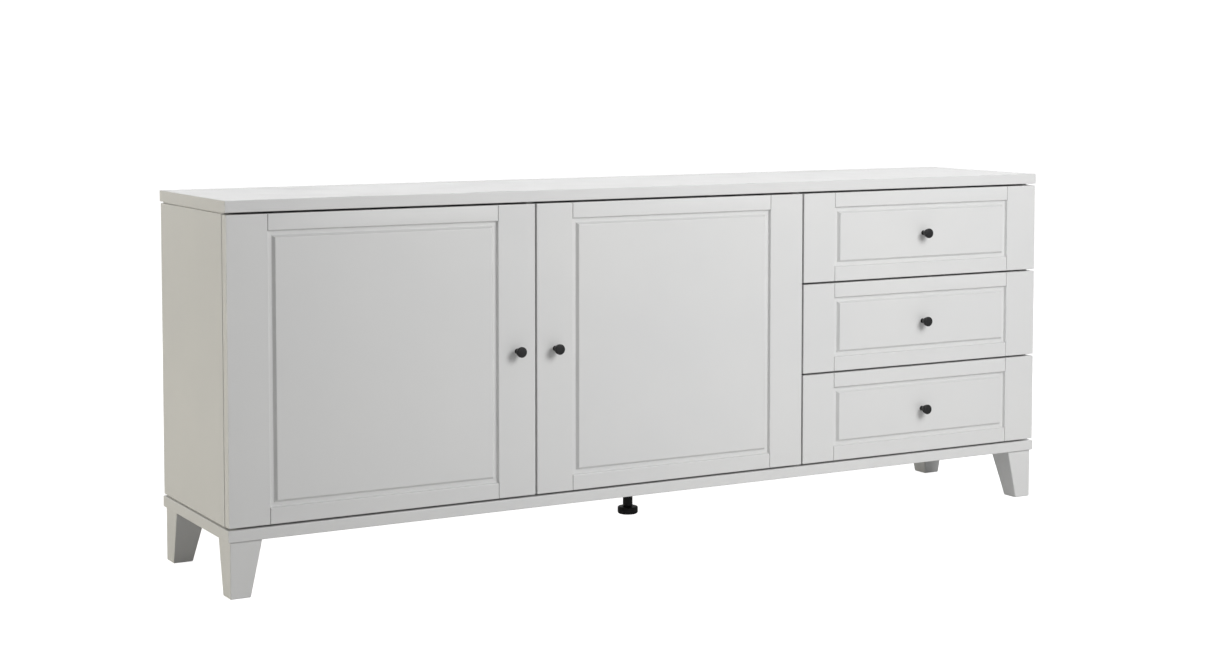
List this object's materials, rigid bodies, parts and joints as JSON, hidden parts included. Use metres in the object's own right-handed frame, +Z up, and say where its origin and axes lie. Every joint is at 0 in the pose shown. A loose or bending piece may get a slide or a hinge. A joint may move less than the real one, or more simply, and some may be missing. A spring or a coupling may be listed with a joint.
{
  "type": "sideboard buffet",
  "caption": "Low white sideboard with framed hinged doors at left and centre, a column of framed drawers at right, round dark knobs and short tapered block legs.",
  "frame": {"origin": "on the floor, under the middle of the whole piece with its knobs", "axes": "+X along the length, towards the drawers at the right; +Y to the back; +Z up. Doors and drawers open towards -Y"},
  "size_m": [1.9, 0.3976, 0.73],
  "materials": {
    "lacquer": "satin cool white lacquer on smooth board",
    "lacquer_inside": "matt white laminated board",
    "black_metal": "satin near-black coating",
    "black_plastic": "matt moulded",
    "steel": "nickel-plated",
    "beech": "waxed beech"
  },
  "bodies": {
    "carcass": {"top_board": "lacquer", "base_board": "lacquer", "side_panel_left": "lacquer", "side_panel_right": "lacquer", "partition_left": "lacquer_inside", "partition_right": "lacquer_inside", "back_panel": "lacquer_inside", "shelf_left": "lacquer_inside", "shelf_pin_left_left_front": "steel", "shelf_pin_left_left_back": "steel", "shelf_pin_left_right_front": "steel", "shelf_pin_left_right_back": "steel", "shelf_middle": "lacquer_inside", "shelf_pin_middle_left_front": "steel", "shelf_pin_middle_left_back": "steel", "shelf_pin_middle_right_front": "steel", "shelf_pin_middle_right_back": "steel", "leg_front_left": "lacquer", "leg_back_left": "lacquer", "leg_front_right": "lacquer", "leg_back_right": "lacquer", "centre_foot_sleeve": "black_plastic", "door_left_hinge_arm_upper": "steel", "door_left_hinge_arm_lower": "steel", "door_right_hinge_arm_upper": "steel", "door_right_hinge_arm_lower": "steel", "drawer_top_runner_left": "beech", "drawer_top_runner_right": "beech", "drawer_middle_runner_left": "beech", "drawer_middle_runner_right": "beech", "drawer_bottom_runner_left": "beech", "drawer_bottom_runner_right": "beech"},
    "centre_foot": {"centre_foot_disc": "black_plastic"},
    "door_left": {"door_left_front": "lacquer", "door_left_knob": "black_metal", "door_left_hinge_cup_upper": "steel", "door_left_hinge_cup_lower": "steel"},
    "door_right": {"door_right_front": "lacquer", "door_right_knob": "black_metal", "door_right_hinge_cup_upper": "steel", "door_right_hinge_cup_lower": "steel"},
    "drawer_top": {"drawer_top_front": "lacquer", "drawer_top_knob": "black_metal", "drawer_top_side_left": "lacquer_inside", "drawer_top_side_right": "lacquer_inside", "drawer_top_back": "lacquer_inside", "drawer_top_bottom": "lacquer_inside"},
    "drawer_middle": {"drawer_middle_front": "lacquer", "drawer_middle_knob": "black_metal", "drawer_middle_side_left": "lacquer_inside", "drawer_middle_side_right": "lacquer_inside", "drawer_middle_back": "lacquer_inside", "drawer_middle_bottom": "lacquer_inside"},
    "drawer_bottom": {"drawer_bottom_front": "lacquer", "drawer_bottom_knob": "black_metal", "drawer_bottom_side_left": "lacquer_inside", "drawer_bottom_side_right": "lacquer_inside", "drawer_bottom_back": "lacquer_inside", "drawer_bottom_bottom": "lacquer_inside"}
  },
  "joints": [
    {"name": "door_left_hinge", "type": "hinge", "parent": "carcass", "child": "door_left", "pos_m": [-0.941, -0.17075, 0.418], "axis": [0, 0, -1], "range_deg": [0, 105]},
    {"name": "door_right_hinge", "type": "hinge", "parent": "carcass", "child": "door_right", "pos_m": [0.30767, -0.17075, 0.418], "axis": [0, 0, 1], "range_deg": [0, 90]},
    {"name": "drawer_top_slide", "type": "slide", "parent": "carcass", "child": "drawer_top", "axis": [0, -1, 0], "range_m": [0, 0.23]},
    {"name": "drawer_middle_slide", "type": "slide", "parent": "carcass", "child": "drawer_middle", "axis": [0, -1, 0], "range_m": [0, 0.23]},
    {"name": "drawer_bottom_slide", "type": "slide", "parent": "carcass", "child": "drawer_bottom", "axis": [0, -1, 0], "range_m": [0, 0.23]},
    {"name": "centre_foot_thread", "type": "slide", "parent": "carcass", "child": "centre_foot", "axis": [0, 0, -1], "range_m": [0, 0.0265]}
  ]
}
